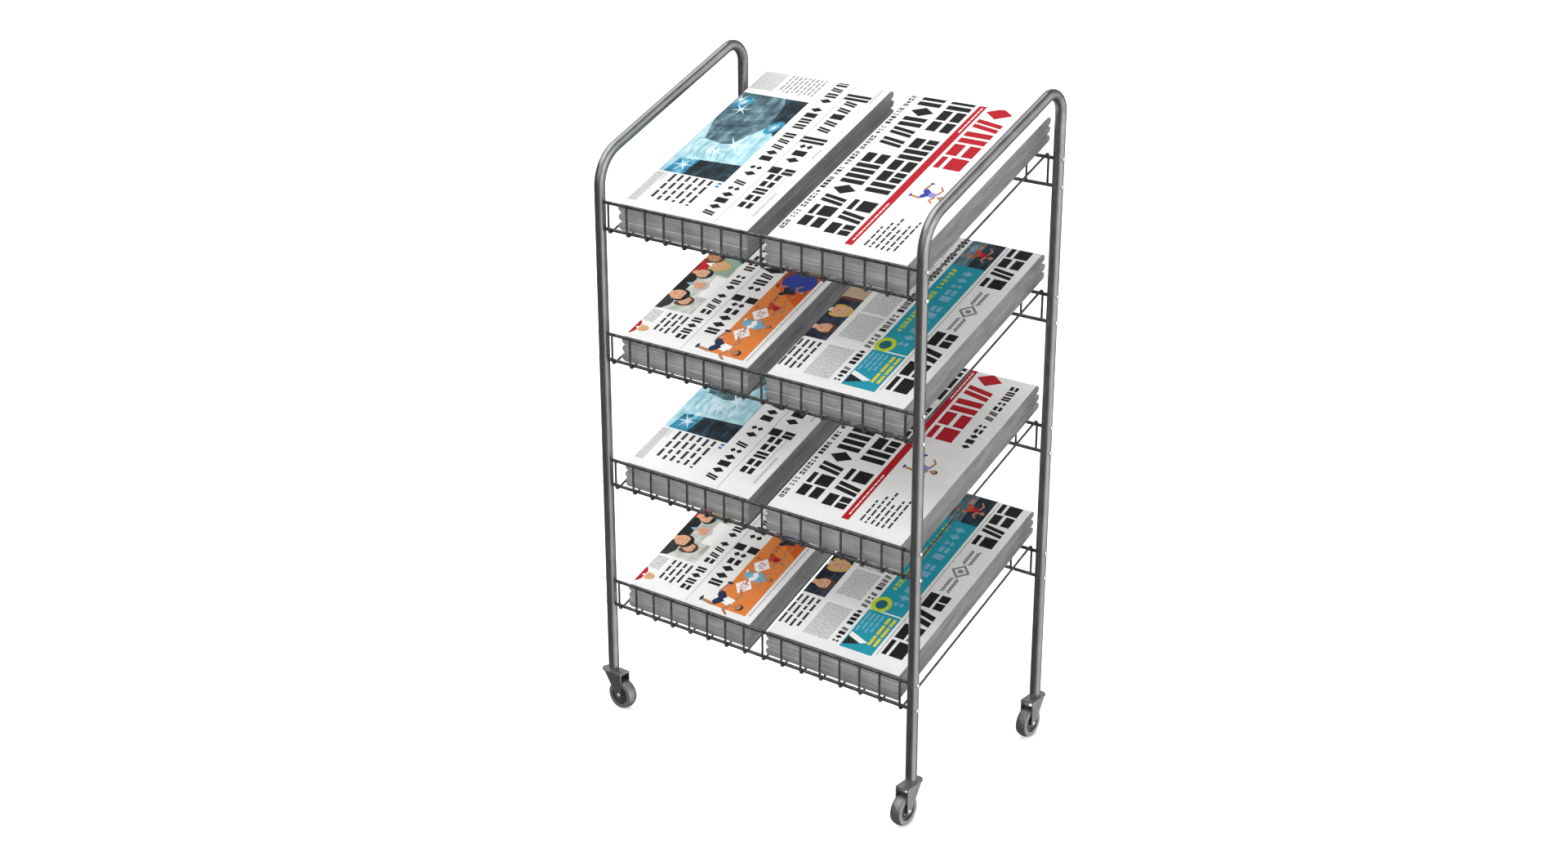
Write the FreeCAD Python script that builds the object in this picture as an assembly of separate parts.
"""Mobile newspaper rack: two bent-tube side frames, four sloping wire trays, four swivel casters
and two stacks of folded newspapers on each tray.

Millimetres. +Z is up, the front faces -Y and the origin is on the floor, midway between the four legs.
Tray 1 is the top tray. Left and right are as seen by a person standing in front of the rack.
"""
import FreeCAD, Part
import os
from math import acos, asin, atan2, cos, degrees, hypot, pi, radians, sin, tan
from FreeCAD import Vector

# ---- overall layout -------------------------------------------------------------------------
LEG_HALF_SPAN_X = 330.0          # leg axes, left to right, are twice this apart
LEG_HALF_SPAN_Y = 192.0          # leg axes, front to back, are twice this apart
LEG_END_Z = 77.0                 # lower end of each tube leg
FRONT_CORNER_Z = 1019.8          # where the leg axis and the sloping top rail axis would meet
TOP_RAIL_ANGLE = 22.0            # slope of the side frame's top rail, degrees
TUBE_R = 9.5                     # 19 mm tube
TUBE_WALL = 1.5
FRONT_BEND_R = 70.0              # centreline radii of the two bends of the tube
BACK_BEND_R = 33.0

# ---- trays ----------------------------------------------------------------------------------
TRAYS = 4
TRAY_PITCH = 233.1
TOP_TRAY_Z = 949.5               # axis of the top tray's upper front rail
FENCE_HEIGHT = 46.0              # upper rail axis to lower rail axis
BACK_RISE = 99.0                 # back rails sit this much higher than the front rails
RAIL_R = 3.0
WIRE_R = 2.0
WIRES_PER_TRAY = 16
WIRE_PITCH = 41.0
WELD_SINK = 0.2                  # a cross wire sinks this far into the rail it is welded to
WIRE_END = 4.0                   # wire ends stand this far past the rail axis

# ---- tray screws ----------------------------------------------------------------------------
SCREW_R = 2.0
SCREW_LENGTH = 16.0
SCREW_HEAD_R = 4.25
SCREW_HEAD_HEIGHT = 2.6
SOCKET_ACROSS_FLATS = 2.5
SOCKET_DEPTH = 1.4
RAIL_HOLE_CLEARANCE = 0.05
RAIL_END_GAP = 0.6               # from the bore of the leg to the flat end of a rail

# ---- casters --------------------------------------------------------------------------------
AXLE_Z = 27.5                    # wheels 55 mm across stand on the floor
TRAIL = 20.0                     # swivel axis to axle
FORK_TOP_Z = 69.5
FORK_SHEET = 2.0
FORK_HALF_WIDTH = 12.5
FORK_FRONT = 26.0                # flat front edge of the fork plate, from the swivel axis
FORK_ROUND_CENTRE = -12.5        # centre of the plate's round rear end, where the cheeks stop
CHEEK_EYE_R = 6.0
AXLE_R = 2.5
RUNNING_CLEARANCE = 0.05
AXLE_HEAD_R = 4.2
AXLE_HEAD_HEIGHT = 2.4
NUT_ACROSS_FLATS = 8.0
NUT_HEIGHT = 3.2
TYRE_HALF_WIDTH = 9.5
TYRE_SHOULDER_R = 25.0
TYRE_SEAT_R = 16.5
HUB_RIM_HALF_WIDTH = 9.0
HUB_RIM_INNER_R = 14.8
HUB_WEB_HALF_WIDTH = 7.0
HUB_BOSS_R = 5.5
HUB_BOSS_HALF_WIDTH = 10.2
HUB_HOLES = 12
HUB_HOLE_R = 2.1
HUB_HOLE_CIRCLE_R = 11.2
STEM_R = 4.0
STEM_TOP_Z = 101.5
STEM_HEAD_R = 7.5
STEM_HEAD_HEIGHT = 2.4
STEM_HEAD_GAP = 0.3
BEARING_R = 8.3
BEARING_HEIGHT = 2.6
BEARING_GAP = 0.1
INSERT_TOP_Z = 105.5
INSERT_COLLAR_R = 9.3

# ---- newspapers -----------------------------------------------------------------------------
COPIES_PER_STACK = 3
COPY_LENGTH = 438.0              # along the slope
COPY_WIDTH = 278.0
COPY_THICKNESS = 13.9
COPY_EDGE_R = 6.2
COPY_CORNER_R = 3.0
STACK_CENTRE_X = 157.0
PAPER_GAP = 0.3                  # paper to the wires it lies on
FENCE_GAP = 1.0                  # paper to the front rails

# ---- worked out -----------------------------------------------------------------------------
FRONT_Y = -LEG_HALF_SPAN_Y
BACK_Y = LEG_HALF_SPAN_Y
WRAP_R = RAIL_R + WIRE_R - WELD_SINK
FLOOR_RUN = hypot(2 * LEG_HALF_SPAN_Y, BACK_RISE + FENCE_HEIGHT)
FLOOR_ANGLE = atan2(BACK_RISE + FENCE_HEIGHT, 2 * LEG_HALF_SPAN_Y) + asin(2 * WRAP_R / FLOOR_RUN)
# How far the upper front edge of a tilted newspaper leans out past its lower front corner.
COPY_LEAN = (COPY_THICKNESS - COPY_EDGE_R) * sin(FLOOR_ANGLE) + COPY_EDGE_R * (1 - cos(FLOOR_ANGLE))

X_AXIS = Vector(1, 0, 0)
Y_AXIS = Vector(0, 1, 0)
Z_AXIS = Vector(0, 0, 1)
CORNERS = {
    "front_left": (-1, -1),
    "front_right": (1, -1),
    "back_left": (-1, 1),
    "back_right": (1, 1),
}
# Direction in which each caster trails from its leg, degrees from +X about +Z.
CASTER_HEADING = {
    "front_left": 0.0,
    "front_right": -90.0,
    "back_left": 90.0,
    "back_right": -90.0,
}
# Casters whose axle bolt goes in from the other side of the fork.
REVERSED_BOLTS = ("front_right", "back_right")


# ---- small geometry helpers -----------------------------------------------------------------
def bend_points(before, corner, after, radius):
    """Tangent points and arc centre of a bend of the given radius at a corner of a route."""
    to_before = (before - corner).normalize()
    to_after = (after - corner).normalize()
    half_angle = acos(max(-1.0, min(1.0, to_before.dot(to_after)))) / 2
    setback = radius / tan(half_angle)
    centre = corner + (to_before + to_after).normalize() * (radius / sin(half_angle))
    return corner + to_before * setback, corner + to_after * setback, centre


def round_bar(start, end, radius):
    """Straight round bar between two points."""
    return Part.makeCylinder(radius, (end - start).Length, start, end - start)


def round_bend(start, end, centre, radius):
    """Bent round bar: a disc turned about the centre of the bend."""
    from_centre = start - centre
    normal = from_centre.cross(end - centre).normalize()
    tangent = normal.cross(from_centre).normalize()
    disc = Part.Face(Part.Wire(Part.makeCircle(radius, start, tangent)))
    return disc.revolve(centre, normal, degrees(from_centre.getAngle(end - centre)))


def bent_bar(corners, bend_radii, radius):
    """Round bar along straight runs with a tangent bend at each inner corner."""
    pieces = []
    run_start = corners[0]
    for before, corner, after, bend_r in zip(corners, corners[1:], corners[2:], bend_radii):
        bend_start, bend_end, centre = bend_points(before, corner, after, bend_r)
        pieces.append(round_bar(run_start, bend_start, radius))
        pieces.append(round_bend(bend_start, bend_end, centre, radius))
        run_start = bend_end
    pieces.append(round_bar(run_start, corners[-1], radius))
    return pieces[0].multiFuse(pieces[1:]).removeSplitter()


def hexagon_prism(across_flats, height, base, axis):
    """Hexagonal prism on a base point, along an axis."""
    corner_r = across_flats / 2 / cos(pi / 6)
    points = [Vector(corner_r * cos(k * pi / 3), corner_r * sin(k * pi / 3), 0) for k in range(7)]
    prism = Part.Face(Part.makePolygon(points)).extrude(Vector(0, 0, height))
    prism.Placement = FreeCAD.Placement(base, FreeCAD.Rotation(Z_AXIS, axis))
    return prism


def turned(profile):
    """Solid of revolution about the Y axis from closed (radius, y) points."""
    points = [Vector(radius, y, 0) for radius, y in profile + profile[:1]]
    return Part.Face(Part.makePolygon(points)).revolve(Vector(0, 0, 0), Y_AXIS, 360)


def domed_head(radius, height, base, axis):
    """Low domed screw head: the cap of a sphere, flat side on the base point."""
    sphere_r = (radius ** 2 + height ** 2) / (2 * height)
    cap_angle = degrees(asin((sphere_r - height) / sphere_r))
    centre = base - axis * (sphere_r - height)
    return Part.makeSphere(sphere_r, centre, axis, cap_angle, 90, 360)


def save(name, shape):
    """Write one node."""
    shape.exportStep(os.path.join("parts", name + ".step"))


# ---- side frames ----------------------------------------------------------------------------
def rail_heights(tray):
    """Axis heights of a tray's four rails, the top tray being number 1."""
    front_upper = TOP_TRAY_Z - (tray - 1) * TRAY_PITCH
    return {
        "front_upper": front_upper,
        "front_lower": front_upper - FENCE_HEIGHT,
        "back_upper": front_upper + BACK_RISE,
        "back_lower": front_upper + BACK_RISE - FENCE_HEIGHT,
    }


def rail_places():
    """(y, z) of every rail axis in the rack."""
    places = []
    for tray in range(1, TRAYS + 1):
        for name, height in rail_heights(tray).items():
            places.append((FRONT_Y if name.startswith("front") else BACK_Y, height))
    return places


def make_side_frame(side):
    """One tube bent into two legs and a sloping top rail, drilled for the rails and their screws."""
    x = side * LEG_HALF_SPAN_X
    back_corner_z = FRONT_CORNER_Z + 2 * LEG_HALF_SPAN_Y * tan(radians(TOP_RAIL_ANGLE))
    corners = [
        Vector(x, FRONT_Y, LEG_END_Z),
        Vector(x, FRONT_Y, FRONT_CORNER_Z),
        Vector(x, BACK_Y, back_corner_z),
        Vector(x, BACK_Y, LEG_END_Z),
    ]
    radii = [FRONT_BEND_R, BACK_BEND_R]
    tube = bent_bar(corners, radii, TUBE_R).cut(bent_bar(corners, radii, TUBE_R - TUBE_WALL))
    holes = []
    for y, z in rail_places():
        inner_hole_start = Vector(x - side * (TUBE_R + 1), y, z)
        holes.append(round_bar(inner_hole_start, Vector(x, y, z), RAIL_R + RAIL_HOLE_CLEARANCE))
        outer_hole_end = Vector(x + side * (TUBE_R + 1), y, z)
        holes.append(round_bar(Vector(x, y, z), outer_hole_end, SCREW_R + RAIL_HOLE_CLEARANCE))
    return tube.cut(holes)


# ---- trays ----------------------------------------------------------------------------------
def rail_end_x():
    """Half length of a rail: its flat end stops just short of the leg's round bore."""
    bore_r = TUBE_R - TUBE_WALL
    return LEG_HALF_SPAN_X + (bore_r ** 2 - RAIL_R ** 2) ** 0.5 - RAIL_END_GAP


def screw_tip_x():
    return LEG_HALF_SPAN_X + TUBE_R - SCREW_LENGTH


def make_rail(y, z):
    """Straight rod with a tapped hole in each end."""
    end_x = rail_end_x()
    rod = round_bar(Vector(-end_x, y, z), Vector(end_x, y, z), RAIL_R)
    for side in (-1, 1):
        mouth = Vector(side * end_x, y, z)
        rod = rod.cut(round_bar(mouth, Vector(side * screw_tip_x(), y, z), SCREW_R))
    return rod


def make_rail_pair(tray, where):
    """Upper and lower rail of a tray's front or back fence."""
    heights = rail_heights(tray)
    y = FRONT_Y if where == "front" else BACK_Y
    return Part.makeCompound([make_rail(y, heights[where + "_upper"]), make_rail(y, heights[where + "_lower"])])


def make_cross_wire(tray):
    """One bent wire in the plane x = 0: front upright, sloping floor run and back upright."""
    heights = rail_heights(tray)
    front_y = FRONT_Y - WRAP_R
    back_y = BACK_Y + WRAP_R
    line_z = heights["front_lower"] - WRAP_R / cos(FLOOR_ANGLE)
    corners = [
        Vector(0, front_y, heights["front_upper"] + WIRE_END),
        Vector(0, front_y, line_z + (front_y - FRONT_Y) * tan(FLOOR_ANGLE)),
        Vector(0, back_y, line_z + (back_y - FRONT_Y) * tan(FLOOR_ANGLE)),
        Vector(0, back_y, heights["back_lower"] - WIRE_END),
    ]
    return bent_bar(corners, [WRAP_R, WRAP_R], WIRE_R)


def make_cross_wires(tray):
    """The row of identical bent wires that makes a tray."""
    wire = make_cross_wire(tray)
    first_x = -WIRE_PITCH * (WIRES_PER_TRAY - 1) / 2
    wires = []
    for index in range(WIRES_PER_TRAY):
        copy = wire.copy()
        copy.translate(Vector(first_x + index * WIRE_PITCH, 0, 0))
        wires.append(copy)
    return Part.makeCompound(wires)


def make_tray_screw(side, y, z):
    """Button-head socket screw through the leg into the end of a rail."""
    axis = X_AXIS * side
    seat = Vector(side * (LEG_HALF_SPAN_X + TUBE_R), y, z)
    head = domed_head(SCREW_HEAD_R, SCREW_HEAD_HEIGHT, seat, axis)
    socket_base = seat + axis * (SCREW_HEAD_HEIGHT - SOCKET_DEPTH)
    socket = hexagon_prism(SOCKET_ACROSS_FLATS, SCREW_HEAD_HEIGHT, socket_base, axis)
    shank = round_bar(Vector(side * screw_tip_x(), y, z), seat, SCREW_R)
    return head.cut(socket).fuse(shank).removeSplitter()


def make_tray_screws(tray):
    """The eight screws of one tray."""
    screws = []
    for name, z in rail_heights(tray).items():
        y = FRONT_Y if name.startswith("front") else BACK_Y
        for side in (-1, 1):
            screws.append(make_tray_screw(side, y, z))
    return Part.makeCompound(screws)


# ---- newspapers -----------------------------------------------------------------------------
def make_copy():
    """One folded newspaper, flat, with soft round edges; its lower face is at z = 0."""
    corner = Vector(-COPY_WIDTH / 2, 0, 0)
    slab = Part.makeBox(COPY_WIDTH, COPY_LENGTH, COPY_THICKNESS, corner)
    upright = [edge for edge in slab.Edges if abs(edge.tangentAt(edge.FirstParameter).z) > 0.9]
    slab = slab.makeFillet(COPY_CORNER_R + COPY_EDGE_R, upright)
    level = [edge for edge in slab.Edges if edge.BoundBox.ZLength < COPY_THICKNESS / 2]
    return slab.makeFillet(COPY_EDGE_R, level)


def make_stack(tray, side):
    """Folded newspapers lying on the sloping wires, with their ends above one another."""
    front_lower = rail_heights(tray)["front_lower"]
    seat_z = front_lower - (WRAP_R - WIRE_R - PAPER_GAP) / cos(FLOOR_ANGLE)
    copies = []
    for index in range(COPIES_PER_STACK):
        copy = make_copy()
        copy.translate(Vector(0, index * COPY_THICKNESS * tan(FLOOR_ANGLE), index * COPY_THICKNESS))
        copy.rotate(Vector(0, 0, 0), X_AXIS, degrees(FLOOR_ANGLE))
        copies.append(copy)
    stack = Part.makeCompound(copies)
    inset_y = RAIL_R + FENCE_GAP + COPY_LEAN
    stack.translate(Vector(side * STACK_CENTRE_X, FRONT_Y + inset_y, seat_z + inset_y * tan(FLOOR_ANGLE)))
    return stack


# ---- casters: made at the origin, trailing towards +X -----------------------------------------
def make_leg_insert():
    """Steel socket pressed into the end of a leg, with a tapered collar below it."""
    bottom_z = FORK_TOP_Z + BEARING_GAP + BEARING_HEIGHT
    plug = Part.makeCylinder(TUBE_R - TUBE_WALL, INSERT_TOP_Z - LEG_END_Z, Vector(0, 0, LEG_END_Z))
    collar = Part.makeCone(BEARING_R, INSERT_COLLAR_R, LEG_END_Z - bottom_z, Vector(0, 0, bottom_z))
    bore = Part.makeCylinder(STEM_R, STEM_TOP_Z - bottom_z, Vector(0, 0, bottom_z))
    return plug.fuse(collar).cut(bore)


def make_stem():
    """Swivel pin: its shank is fixed in the leg insert and its head holds the fork up."""
    plate_bottom = FORK_TOP_Z - FORK_SHEET
    head_top = plate_bottom - STEM_HEAD_GAP
    shank = Part.makeCylinder(STEM_R, STEM_TOP_Z - head_top, Vector(0, 0, head_top))
    head = Part.makeCylinder(STEM_HEAD_R, STEM_HEAD_HEIGHT, Vector(0, 0, head_top - STEM_HEAD_HEIGHT))
    return shank.fuse(head).removeSplitter()


def make_swivel_bearing():
    """Thrust ring between the fork plate and the leg insert."""
    base = Vector(0, 0, FORK_TOP_Z + BEARING_GAP)
    ring = Part.makeCylinder(BEARING_R, BEARING_HEIGHT, base)
    return ring.cut(Part.makeCylinder(STEM_R, BEARING_HEIGHT, base))


def make_cheek(y_start):
    """Side plate of the fork: upright front edge, slanting rear edge and a round eye at the axle."""
    top_z = FORK_TOP_Z - FORK_SHEET
    rear_dx = FORK_ROUND_CENTRE - TRAIL
    rear_dz = top_z - AXLE_Z
    tangent_angle = atan2(rear_dz, rear_dx) + acos(CHEEK_EYE_R / hypot(rear_dx, rear_dz))
    middle_angle = tangent_angle / 2 + pi

    def on_eye(angle):
        return Vector(TRAIL + CHEEK_EYE_R * cos(angle), y_start, AXLE_Z + CHEEK_EYE_R * sin(angle))

    rear_top = Vector(FORK_ROUND_CENTRE, y_start, top_z)
    front_top = Vector(FORK_FRONT, y_start, top_z)
    edges = [
        Part.makeLine(rear_top, front_top),
        Part.makeLine(front_top, on_eye(0)),
        Part.Arc(on_eye(0), on_eye(middle_angle), on_eye(tangent_angle)).toShape(),
        Part.makeLine(on_eye(tangent_angle), rear_top),
    ]
    return Part.Face(Part.Wire(edges)).extrude(Vector(0, FORK_SHEET, 0))


def make_fork():
    """Pressed steel fork: top plate with a round rear end and two cheeks."""
    plate_z = FORK_TOP_Z - FORK_SHEET
    plate_corner = Vector(FORK_ROUND_CENTRE, -FORK_HALF_WIDTH, plate_z)
    plate = Part.makeBox(FORK_FRONT - FORK_ROUND_CENTRE, 2 * FORK_HALF_WIDTH, FORK_SHEET, plate_corner)
    rear = Part.makeCylinder(FORK_HALF_WIDTH, FORK_SHEET, Vector(FORK_ROUND_CENTRE, 0, plate_z))
    body = plate.fuse([rear, make_cheek(-FORK_HALF_WIDTH), make_cheek(FORK_HALF_WIDTH - FORK_SHEET)])
    swivel_hole = Part.makeCylinder(STEM_R + RUNNING_CLEARANCE, FORK_SHEET, Vector(0, 0, plate_z))
    axle_hole = Part.makeCylinder(AXLE_R, 2 * FORK_HALF_WIDTH, Vector(TRAIL, -FORK_HALF_WIDTH, AXLE_Z), Y_AXIS)
    return body.cut([swivel_hole, axle_hole]).removeSplitter()


def make_tyre():
    """Solid tyre with a crowned tread."""
    width = TYRE_HALF_WIDTH
    rim = [Vector(TYRE_SHOULDER_R, -width, 0), Vector(TYRE_SEAT_R, -width, 0),
           Vector(TYRE_SEAT_R, width, 0), Vector(TYRE_SHOULDER_R, width, 0)]
    tread = Part.Arc(rim[3], Vector(AXLE_Z, 0, 0), rim[0]).toShape()
    outline = Part.Wire(Part.makePolygon(rim).Edges + [tread])
    return Part.Face(outline).revolve(Vector(0, 0, 0), Y_AXIS, 360)


def make_hub():
    """Wheel centre: rim, drilled web and boss."""
    hub = turned([
        (AXLE_R + RUNNING_CLEARANCE, -HUB_BOSS_HALF_WIDTH),
        (HUB_BOSS_R, -HUB_BOSS_HALF_WIDTH),
        (HUB_BOSS_R, -HUB_WEB_HALF_WIDTH),
        (HUB_RIM_INNER_R, -HUB_WEB_HALF_WIDTH),
        (HUB_RIM_INNER_R, -HUB_RIM_HALF_WIDTH),
        (TYRE_SEAT_R, -HUB_RIM_HALF_WIDTH),
        (TYRE_SEAT_R, HUB_RIM_HALF_WIDTH),
        (HUB_RIM_INNER_R, HUB_RIM_HALF_WIDTH),
        (HUB_RIM_INNER_R, HUB_WEB_HALF_WIDTH),
        (HUB_BOSS_R, HUB_WEB_HALF_WIDTH),
        (HUB_BOSS_R, HUB_BOSS_HALF_WIDTH),
        (AXLE_R + RUNNING_CLEARANCE, HUB_BOSS_HALF_WIDTH),
    ])
    holes = []
    for index in range(HUB_HOLES):
        angle = 2 * pi * index / HUB_HOLES
        start = Vector(HUB_HOLE_CIRCLE_R * cos(angle), -HUB_WEB_HALF_WIDTH, HUB_HOLE_CIRCLE_R * sin(angle))
        holes.append(Part.makeCylinder(HUB_HOLE_R, 2 * HUB_WEB_HALF_WIDTH, start, Y_AXIS))
    return hub.cut(holes)


def make_axle_bolt():
    """Domed bolt through both cheeks."""
    length = 2 * FORK_HALF_WIDTH + NUT_HEIGHT
    shank = Part.makeCylinder(AXLE_R, length, Vector(0, -FORK_HALF_WIDTH, 0), Y_AXIS)
    head = domed_head(AXLE_HEAD_R, AXLE_HEAD_HEIGHT, Vector(0, -FORK_HALF_WIDTH, 0), -Y_AXIS)
    return shank.fuse(head).removeSplitter()


def make_axle_nut():
    """Hexagon nut on the far end of the axle bolt."""
    base = Vector(0, FORK_HALF_WIDTH, 0)
    nut = hexagon_prism(NUT_ACROSS_FLATS, NUT_HEIGHT, base, Y_AXIS)
    return nut.cut(Part.makeCylinder(AXLE_R, NUT_HEIGHT, base, Y_AXIS))


def place_caster_piece(shape, corner, on_axle):
    """Move a caster piece from the origin to its leg, turned to the caster's heading."""
    side_x, side_y = CORNERS[corner]
    placed = shape.copy()
    if on_axle:
        if corner in REVERSED_BOLTS:
            placed.rotate(Vector(0, 0, 0), Z_AXIS, 180)
        placed.translate(Vector(TRAIL, 0, AXLE_Z))
    placed.rotate(Vector(0, 0, 0), Z_AXIS, CASTER_HEADING[corner])
    placed.translate(Vector(side_x * LEG_HALF_SPAN_X, side_y * LEG_HALF_SPAN_Y, 0))
    return placed


def save_casters():
    """Write the pieces of all four casters."""
    swivel_pieces = {
        "leg_insert": make_leg_insert(),
        "caster_stem": make_stem(),
        "swivel_bearing": make_swivel_bearing(),
        "caster_fork": make_fork(),
    }
    axle_pieces = {
        "tyre": make_tyre(),
        "wheel_hub": make_hub(),
        "axle_bolt": make_axle_bolt(),
        "axle_nut": make_axle_nut(),
    }
    for corner in CORNERS:
        for name, shape in swivel_pieces.items():
            save(f"{name}_{corner}", place_caster_piece(shape, corner, on_axle=False))
        for name, shape in axle_pieces.items():
            save(f"{name}_{corner}", place_caster_piece(shape, corner, on_axle=True))


def save_trays():
    """Write the rails, wires, screws and newspapers of all trays."""
    for tray in range(1, TRAYS + 1):
        save(f"tray_{tray}_front_rails", make_rail_pair(tray, "front"))
        save(f"tray_{tray}_back_rails", make_rail_pair(tray, "back"))
        save(f"tray_{tray}_cross_wires", make_cross_wires(tray))
        save(f"tray_{tray}_screws", make_tray_screws(tray))
        save(f"newspapers_{tray}_left", make_stack(tray, -1))
        save(f"newspapers_{tray}_right", make_stack(tray, 1))


os.makedirs("parts", exist_ok=True)
save("side_frame_left", make_side_frame(-1))
save("side_frame_right", make_side_frame(1))
save_trays()
save_casters()
